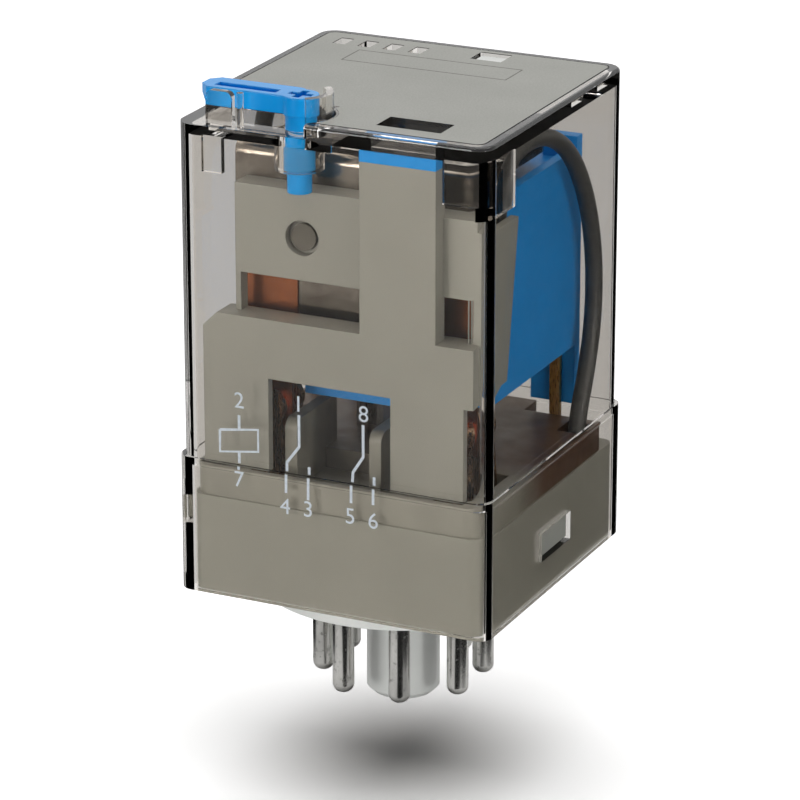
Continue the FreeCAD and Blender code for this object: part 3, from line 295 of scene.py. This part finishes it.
FINISHES = {
    "clear_cover": smoked_clear(),
    "base_grey": moulded_plastic("pale_grey_moulding", paint(240, 242, 238), 0.4),
    "frame_grey": moulded_plastic("warm_grey_moulding", paint(145, 146, 138), 0.45),
    "carrier_grey": moulded_plastic("carrier_grey_moulding", paint(146, 147, 140), 0.42),
    "pin_metal": tinned_pin(paint(206, 205, 201)),
    "fixed_blade": worked_metal("silvered_brass", paint(150, 122, 96), paint(92, 60, 40), 0.24),
    "link_brass": worked_metal("rolled_brass", paint(205, 160, 96), paint(140, 96, 52), 0.28),
    "blade_bronze": worked_metal("phosphor_bronze", paint(130, 80, 54), paint(78, 44, 30), 0.34),
    "contact_copper": worked_metal("contact_copper", paint(232, 150, 108), paint(150, 84, 52), 0.18),
    "soft_iron": worked_metal("plated_iron", paint(150, 148, 144), paint(88, 82, 74), 0.3),
    "armature_steel": worked_metal("bright_steel", paint(140, 134, 126), paint(66, 50, 38), 0.16, dull=0.7),
    "spring_steel": worked_metal("spring_steel", paint(140, 138, 136), paint(86, 80, 74), 0.26),
    "bobbin_blue": moulded_plastic("coil_former_blue", paint(40, 152, 238), 0.36, sheen=0.3),
    "winding_copper": worked_metal("enamelled_copper", paint(176, 88, 48), paint(104, 44, 22), 0.24,
                                   grain=(0.02, 0.02, 1)),
    "lead_grey": lead_rubber(),
    "flag_blue": moulded_plastic("flag_blue", paint(0, 152, 240), 0.34, sheen=0.2),
    "button_blue": moulded_plastic("button_blue", paint(14, 162, 246), 0.16, edge=0.25 * MM, grain=0.2,
                                   sheen=0.3),
}
DECK = deck_painted_shade()
RIVET = worked_metal("rivet_end", paint(92, 90, 84), paint(56, 53, 48), 0.34)
OWN_FINISHES = {"contact_frame": DECK, "carrier_rivet": RIVET}
FILM, INK, PAINTED_DARK = frosted_panel(), print_ink(), panel_painted_dark()
ENGRAVED, CARD = engraved_line(), marker_card()

SLOTS = {row["node"]: row["material_slot"] for row in frame["record"]["subparts"]}
for name, solid in frame["nodes"].items():
    for slot in solid.material_slots:
        slot.material = OWN_FINISHES.get(name) or FINISHES[SLOTS[name]]


# --- Modelling helpers -------------------------------------------------------------------------

def only(piece):
    bpy.ops.object.select_all(action="DESELECT")
    piece.select_set(True)
    bpy.context.view_layer.objects.active = piece


def settle(piece):
    """Bring the object's place, turn and size into its mesh."""
    only(piece)
    bpy.ops.object.transform_apply(location=True, rotation=True, scale=True)
    return piece


def block(name, low, high):
    """A six-sided blank between two corners."""
    low, high = Vector(low), Vector(high)
    bpy.ops.mesh.primitive_cube_add(size=1, location=(low + high) / 2, scale=high - low)
    piece = bpy.context.object
    piece.name = name
    return settle(piece)


def bar(name, at, radius, low, high):
    """A round blank that stands between two heights."""
    bpy.ops.mesh.primitive_cylinder_add(vertices=96, radius=radius, depth=high - low,
                                        location=(at[0], at[1], (low + high) / 2))
    piece = bpy.context.object
    piece.name = name
    return settle(piece)


def round_upright(piece, radius, segments=6):
    """Bevel the upright edges of a blank."""
    only(piece)
    bpy.ops.object.mode_set(mode="EDIT")
    bpy.ops.mesh.select_mode(type="EDGE")
    bpy.ops.mesh.select_all(action="DESELECT")
    mesh = bmesh.from_edit_mesh(piece.data)
    for edge in mesh.edges:
        a, b = (corner.co for corner in edge.verts)
        edge.select = (a.xy - b.xy).length < 1e-7
    bmesh.update_edit_mesh(piece.data)
    bpy.ops.mesh.bevel(offset=radius, segments=segments)
    bpy.ops.object.mode_set(mode="OBJECT")


def carve(piece, cutters):
    """Cut the cutters out of the piece and throw them away."""
    for cutter in cutters:
        only(piece)
        bpy.ops.object.modifier_add(type="BOOLEAN")
        cutting = piece.modifiers[-1]
        cutting.operation, cutting.solver, cutting.object = "DIFFERENCE", "EXACT", cutter
        bpy.ops.object.modifier_apply(modifier=cutting.name)
        bpy.data.objects.remove(cutter)


def dress(piece, finish, body, smooth=True):
    """Give the finished piece its material and its body."""
    piece.data.materials.clear()
    piece.data.materials.append(finish)
    only(piece)
    if smooth:
        bpy.ops.object.shade_smooth_by_angle(angle=math.radians(35))
    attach(piece, body)


# --- Frosted panel on the top of the cover -----------------------------------------------------

TOP = 55.0 * MM
PANEL_HALF, PANEL_CORNER = 16.5 * MM, 0.9 * MM
LINE_WIDTH = 0.16 * MM

# Where the top is open, as x and y in millimetres
RECESS_RIGHT, RECESS_REAR = -2.8, -10.3
COLLAR_AT, COLLAR_RADIUS = (-5.0, -13.9), 3.6
MARKER_WINDOW = (1.8, 12.8), (5.4, 15.8)
FLAG_SLOT = (3.8, -14.5), (11.0, -11.1)
VENTS, VENT_FIRST, VENT_PITCH, VENT_HALF = 4, -13.6, 3.0, 0.75
VENT_FRONT, VENT_REAR = 12.3, 14.7


def openings_in_top(gap):
    """Blanks for the button recess, the marker window, the flag slot and the vents."""
    low, high = TOP - MM, TOP + MM
    outside = -20 * MM
    blanks = [block("cutter", (outside, outside, low),
                    (RECESS_RIGHT * MM + gap, RECESS_REAR * MM + gap, high)),
              bar("cutter", mm(*COLLAR_AT), COLLAR_RADIUS * MM + gap, low, high)]
    for front_left, rear_right in (MARKER_WINDOW, FLAG_SLOT):
        blanks.append(block("cutter", (*mm(*front_left), low), (*mm(*rear_right), high)))
    for i in range(VENTS):
        x = VENT_FIRST + VENT_PITCH * i
        blanks.append(block("cutter", (*mm(x - VENT_HALF, VENT_FRONT), low),
                            (*mm(x + VENT_HALF, VENT_REAR), high)))
    return blanks


def make_panel():
    """The frosted panel with a near-black underside, a painted dark reflection for the band at the clear
    edges, and a dark line round it, painted shade of the groove at its edge.
    """
    half = PANEL_HALF
    panel = block("top_panel", (-half, -half, TOP - 0.05 * MM), (half, half, TOP + 0.02 * MM))
    round_upright(panel, PANEL_CORNER)
    carve(panel, openings_in_top(0.3 * MM))
    dress(panel, FILM, "relay_body", smooth=False)
    # faces that don't face up get the near-black painted dark reflection
    panel.data.materials.append(PAINTED_DARK)
    for face in panel.data.polygons:
        face.material_index = int(face.normal.z < 0.5)
    panel.visible_shadow = False

    edge = half + LINE_WIDTH
    line = block("panel_line", (-edge, -edge, TOP - 0.04 * MM), (edge, edge, TOP + 0.008 * MM))
    round_upright(line, PANEL_CORNER + LINE_WIDTH)
    inner = block("cutter", (-half, -half, TOP - MM), (half, half, TOP + MM))
    round_upright(inner, PANEL_CORNER)
    carve(line, [inner] + openings_in_top(0.14 * MM))
    # the dark ring is painted shade of the groove round the panel
    dress(line, PAINTED_DARK, "relay_body", smooth=False)
    line.visible_shadow = False


def make_top_marks():
    """The engraved label box and the card in the marker window."""
    left, right, front, rear, width = -10.5 * MM, 8.8 * MM, 6.5 * MM, 11.0 * MM, 0.16 * MM
    low, high = TOP - 0.01 * MM, TOP + 0.028 * MM
    outline = block("label_outline", (left, front, low), (right, rear, high))
    carve(outline, [block("cutter", (left + width, front + width, low - MM),
                          (right - width, rear - width, high + MM))])
    dress(outline, ENGRAVED, "relay_body", smooth=False)
    card = block("marker_card", (1.95 * MM, 12.95 * MM, TOP - 0.62 * MM),
                 (5.25 * MM, 15.65 * MM, TOP - 0.35 * MM))
    round_upright(card, 0.25 * MM, 4)
    dress(card, CARD, "relay_body", smooth=False)


make_panel()
make_top_marks()


# --- Printed contact diagram -------------------------------------------------------------------

CASE, SKIRT = -17.75, -18.0                      # y of the two front faces
INK_WIDTH, INK_THICK = 0.32 * MM, 0.012 * MM
NUMBER_HEIGHT = 1.75


def printed_line(name, points, face):
    """A flat printed line through points (x, z) on a front face at y = face."""
    data = bpy.data.curves.new(name, "CURVE")
    data.dimensions = "3D"
    data.bevel_depth, data.bevel_resolution, data.use_fill_caps = INK_WIDTH / 2, 3, True
    spline = data.splines.new("POLY")
    spline.points.add(len(points) - 1)
    for point, (x, z) in zip(spline.points, points):
        point.co = (x * MM, 0, z * MM, 1)
    piece = bpy.data.objects.new(name, data)
    scene.collection.objects.link(piece)
    only(piece)
    bpy.ops.object.convert(target="MESH")
    piece = bpy.context.object
    piece.scale = (1, INK_THICK / INK_WIDTH, 1)
    piece.location = (0, face * MM, 0)
    return settle(piece)


def printed_number(text, x, z, face):
    """A numeral centred on (x, z) of a front face at y = face."""
    bpy.ops.object.text_add(location=(x * MM, (face - 0.005) * MM, z * MM), rotation=(math.pi / 2, 0, 0))
    piece = bpy.context.object
    piece.data.body = text
    piece.data.size = NUMBER_HEIGHT / 0.7 * MM
    piece.data.align_x, piece.data.align_y = "CENTER", "CENTER"
    piece.data.extrude = 0.004 * MM
    bpy.ops.object.convert(target="MESH")
    piece = bpy.context.object
    piece.name = "number_" + text
    return settle(piece)


def make_diagram():
    """The coil and the two changeover contacts, with the numbers of their pins."""
    lines = {
        "coil_symbol": ([(-12.88, 20.65), (-8.39, 21.3), (-8.39, 18.85), (-12.9, 18.2), (-12.88, 20.65)],
                        CASE),
        "coil_stem_top": ([(-10.6, 20.95), (-10.6, 22.6)], CASE),
        "coil_stem_low": ([(-10.63, 18.5), (-10.63, 17.25)], CASE),
        "coil_stem_end": ([(-10.6, 16.95), (-10.6, 16.6)], SKIRT),
        "left_common": ([(-3.6, 23.7), (-3.6, 20.15), (-5.03, 18.25), (-5.03, 17.25)], CASE),
        "right_common": ([(3.8, 23.75), (3.8, 20.2), (2.62, 18.35), (2.55, 17.25)], CASE),
        "left_closed": ([(-5.03, 16.95), (-5.05, 14.9)], SKIRT),
        "left_open_top": ([(-2.45, 18.1), (-2.45, 17.25)], CASE),
        "left_open": ([(-2.45, 16.95), (-2.47, 14.5)], SKIRT),
        "right_closed": ([(2.52, 16.95), (2.51, 15.0)], SKIRT),
        "right_open_top": ([(5.05, 18.2), (5.05, 17.25)], CASE),
        "right_open": ([(5.05, 16.95), (5.04, 15.2)], SKIRT),
    }
    for name, (points, face) in lines.items():
        dress(printed_line("print_" + name, points, face), INK, "relay_body")
    numbers = {"2": (-10.57, 24.15, CASE), "1": (-3.65, 24.8, CASE), "8": (3.85, 24.85, CASE),
               "7": (-10.57, 15.45, SKIRT), "4": (-5.15, 13.3, SKIRT), "3": (-2.49, 13.4, SKIRT),
               "5": (2.4, 13.45, SKIRT), "6": (5.04, 13.35, SKIRT)}
    for text, (x, z, face) in numbers.items():
        dress(printed_number(text, x, z, face), INK, "relay_body", smooth=False)


make_diagram()


# --- Insulated leads from the moving blades to their tags --------------------------------------

LEAD_ROUTE = [(13.1, -7.0, 41.2), (13.1, -7.0, 46.2), (13.8, -5.2, 51.0), (14.9, 0.6, 51.7),
              (15.2, 6.8, 48.4), (15.2, 11.6, 42.2), (15.2, 14.0, 35.0), (15.2, 14.1, 27.6),
              (15.15, 12.3, 21.6), (15.05, 10.5, 17.4), (14.95, 10.0, 13.7)]
LEAD_RADIUS = 0.95 * MM


def make_lead(side, sign):
    """One lead, the route mirrored by its sign, as a closed mesh in place of the hidden CAD lead."""
    data = bpy.data.curves.new("lead_" + side, "CURVE")
    data.dimensions = "3D"
    data.bevel_depth, data.bevel_resolution, data.use_fill_caps = LEAD_RADIUS, 8, True
    data.resolution_u = 16
    spline = data.splines.new("NURBS")
    spline.points.add(len(LEAD_ROUTE) - 1)
    for point, (x, y, z) in zip(spline.points, LEAD_ROUTE):
        point.co = (sign * x * MM, y * MM, z * MM, 1)
    spline.order_u = 3
    spline.use_endpoint_u = True
    piece = bpy.data.objects.new("lead_" + side, data)
    scene.collection.objects.link(piece)
    only(piece)
    bpy.ops.object.convert(target="MESH")
    piece = bpy.context.object
    only(piece)
    bpy.ops.object.mode_set(mode="EDIT")
    bpy.ops.mesh.select_all(action="SELECT")
    bpy.ops.mesh.remove_doubles(threshold=0.001 * MM)
    bpy.ops.mesh.normals_make_consistent(inside=False)
    bpy.ops.object.mode_set(mode="OBJECT")
    piece.data.materials.clear()
    piece.data.materials.append(FINISHES["lead_grey"])
    bpy.ops.object.shade_smooth_by_angle(angle=math.radians(50))
    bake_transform(piece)
    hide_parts("flex_lead_" + side)


make_lead("right", 1)
make_lead("left", -1)


# --- Studio ------------------------------------------------------------------------------------

def lamp(name, at, towards, size, power):
    data = bpy.data.lights.new(name, "AREA")
    data.shape, data.size, data.energy = "DISK", size, power
    thing = bpy.data.objects.new(name, data)
    scene.collection.objects.link(thing)
    thing.location = at
    thing.rotation_euler = (Vector(towards) - Vector(at)).to_track_quat("-Z", "Y").to_euler()
    thing.visible_camera = False
    return thing


def keep_off(thing, floor):
    """Stop a low lamp from lighting the floor under the pins."""
    left_out = bpy.data.collections.new(thing.name + "_left_out")
    left_out.objects.link(floor)
    left_out.collection_objects[0].light_linking.link_state = "EXCLUDE"
    thing.light_linking.receiver_collection = left_out


def make_lamps():
    """A broad lamp overhead and two low ones, which are returned."""
    middle = mm(0, 0, 30)
    lamp("top_lamp", (0.0, 0.0, 0.9), middle, 1.4, 8.4)
    return (lamp("front_lamp", (-0.35, -1.0, 0.07), middle, 0.4, 3.3),
            lamp("side_lamp", (0.85, -0.45, 0.14), middle, 0.14, 1.5))


FLOOR, FLOOR_RADIUS = -21, 0.5
FLOOR_GAIN = 2.05                                # how much brighter the camera sees the floor
CARD_LOW, CARD_HIGH = -20.6, -20.5

# Each card's corners in x and y, and whether the clear parts see it as well as the shiny ones
CARDS = {"front_card": ((-400, -500), (300, -62), False),
         "front_left_card": ((-120, -62), (-44, -20), False),
         "front_right_card": ((6, -62), (300, -20), False),
         "left_card": ((-90, -20), (-36, 50), False),
         "right_card": ((34, -20), (400, 420), True)}


def make_floor(low_lamps):
    """A white floor that takes the shadow of the top lamp alone."""
    bpy.ops.mesh.primitive_circle_add(vertices=96, radius=FLOOR_RADIUS, fill_type="NGON",
                                      location=mm(0, 0, FLOOR))
    floor = bpy.context.object
    floor.name = "studio_floor"
    settle(floor)
    made = Finish("floor_white")
    path = made.add("LightPath")
    early = made.add("Math", {"operation": "LESS_THAN"}, _0=path.outputs["Diffuse Depth"], _1=1.5).outputs[0]
    bounced = made.blend(early, (0.05, 0.05, 0.05, 1), (1, 1, 1, 1))
    seen = made.blend(path.outputs["Is Camera Ray"], bounced, (FLOOR_GAIN, FLOOR_GAIN, FLOOR_GAIN, 1))
    white = made.add("BsdfDiffuse", Color=seen)
    made.give(made.output, {"Surface": white.outputs[0]})
    floor.data.materials.append(made.material)
    for thing in low_lamps:
        keep_off(thing, floor)


def make_cards():
    """Dark cards on the floor, in front and at both sides, that keep glare off the clear faces."""
    black = Finish("card_black", Roughness=0.9, Specular_IOR_Level=0.0)
    black.set(Base_Color=black.blend(black.noise(40), (0.004, 0.004, 0.004, 1), (0.008, 0.008, 0.008, 1)))
    for name, (low, high, through) in CARDS.items():
        card = block(name, mm(*low, CARD_LOW), mm(*high, CARD_HIGH))
        card.data.materials.append(black.material)
        card.visible_camera = card.visible_shadow = card.visible_diffuse = False
        card.visible_transmission = through


def make_world():
    """White to the camera, in shine and through clear parts, and dim as a light."""
    world = bpy.data.worlds.new("studio_white")
    scene.world = world
    world.use_nodes = True
    tree = world.node_tree
    ground = tree.nodes["Background"]
    path = tree.nodes.new("ShaderNodeLightPath")

    def calculate(operation, first, second):
        sum_node = tree.nodes.new("ShaderNodeMath")
        sum_node.operation = operation
        for socket, what in zip(sum_node.inputs, (first, second)):
            if isinstance(what, float):
                socket.default_value = what
            else:
                tree.links.new(what, socket)
        return sum_node.outputs[0]

    seen = calculate("MAXIMUM", path.outputs["Is Camera Ray"], path.outputs["Is Glossy Ray"])
    seen = calculate("MAXIMUM", seen, path.outputs["Is Transmission Ray"])
    direct = calculate("LESS_THAN", path.outputs["Diffuse Depth"], 0.5)
    seen = calculate("MULTIPLY", seen, direct)
    level = tree.nodes.new("ShaderNodeMapRange")
    level.inputs["To Min"].default_value = 0.045
    level.inputs["To Max"].default_value = 1.0
    tree.links.new(seen, level.inputs["Value"])
    tree.links.new(level.outputs[0], ground.inputs["Strength"])
    ground.inputs["Color"].default_value = (1, 1, 1, 1)


make_floor(make_lamps())
make_cards()
make_world()
